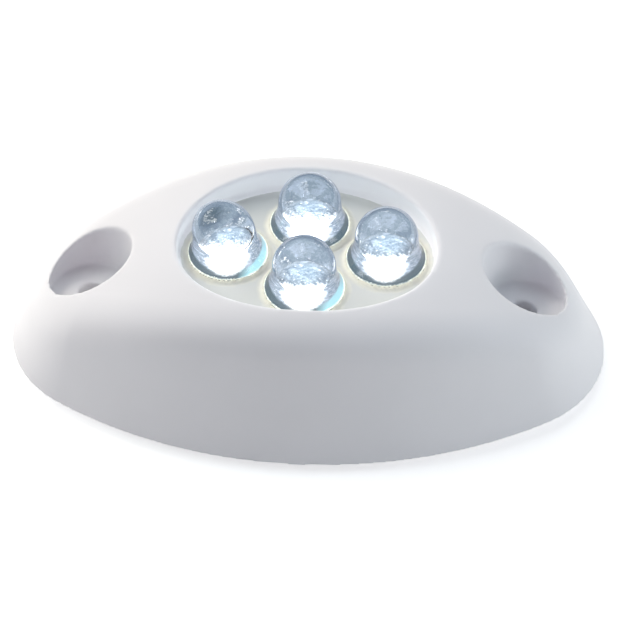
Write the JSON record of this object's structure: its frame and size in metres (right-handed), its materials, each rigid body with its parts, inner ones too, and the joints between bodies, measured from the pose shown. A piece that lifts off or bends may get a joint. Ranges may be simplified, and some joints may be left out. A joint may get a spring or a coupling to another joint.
{
  "type": "underwater pool light",
  "caption": "Small surface-mounted pool light: white lens-shaped housing with clear round LEDs in an oval recess and a counterbored screw hole at each end.",
  "frame": {"origin": "middle of the wall side, on the gasket's outer face", "axes": "+X along the length through both screw holes, +Y across the width, +Z out of the wall in the direction the LEDs shine"},
  "size_m": [0.0786, 0.0448, 0.0246],
  "materials": {
    "housing_white": "satin moulded",
    "carrier_cream": "satin",
    "clear_epoxy": "polished",
    "resin": "cast",
    "tinned_steel": "tinned",
    "phosphor": "glowing white when lit",
    "board": "solder mask",
    "black_plastic": "moulded",
    "brass": "plain",
    "black_rubber": "matt",
    "white_foam": "closed-cell foam",
    "red_rubber": "satin",
    "cover_grey": "satin moulded",
    "steel": "stainless"
  },
  "bodies": {
    "root": {"housing": "housing_white", "lamp_carrier": "carrier_cream", "sealing_resin": "resin", "circuit_board": "board", "resistor_1": "black_plastic", "resistor_2": "black_plastic", "bridge_rectifier": "black_plastic", "terminal_pin_1": "brass", "terminal_pin_2": "brass", "cord_gland": "black_rubber", "back_cover": "cover_grey", "cover_seal": "red_rubber", "mounting_gasket": "white_foam", "cover_screw_1": "steel", "cover_screw_2": "steel", "cover_screw_3": "steel", "cover_screw_4": "steel", "led_lens_left": "clear_epoxy", "led_cup_post_left": "tinned_steel", "led_plain_post_left": "tinned_steel", "led_chip_left": "phosphor", "led_lens_right": "clear_epoxy", "led_cup_post_right": "tinned_steel", "led_plain_post_right": "tinned_steel", "led_chip_right": "phosphor", "led_lens_back": "clear_epoxy", "led_cup_post_back": "tinned_steel", "led_plain_post_back": "tinned_steel", "led_chip_back": "phosphor", "led_lens_front": "clear_epoxy", "led_cup_post_front": "tinned_steel", "led_plain_post_front": "tinned_steel", "led_chip_front": "phosphor"}
  },
  "joints": []
}
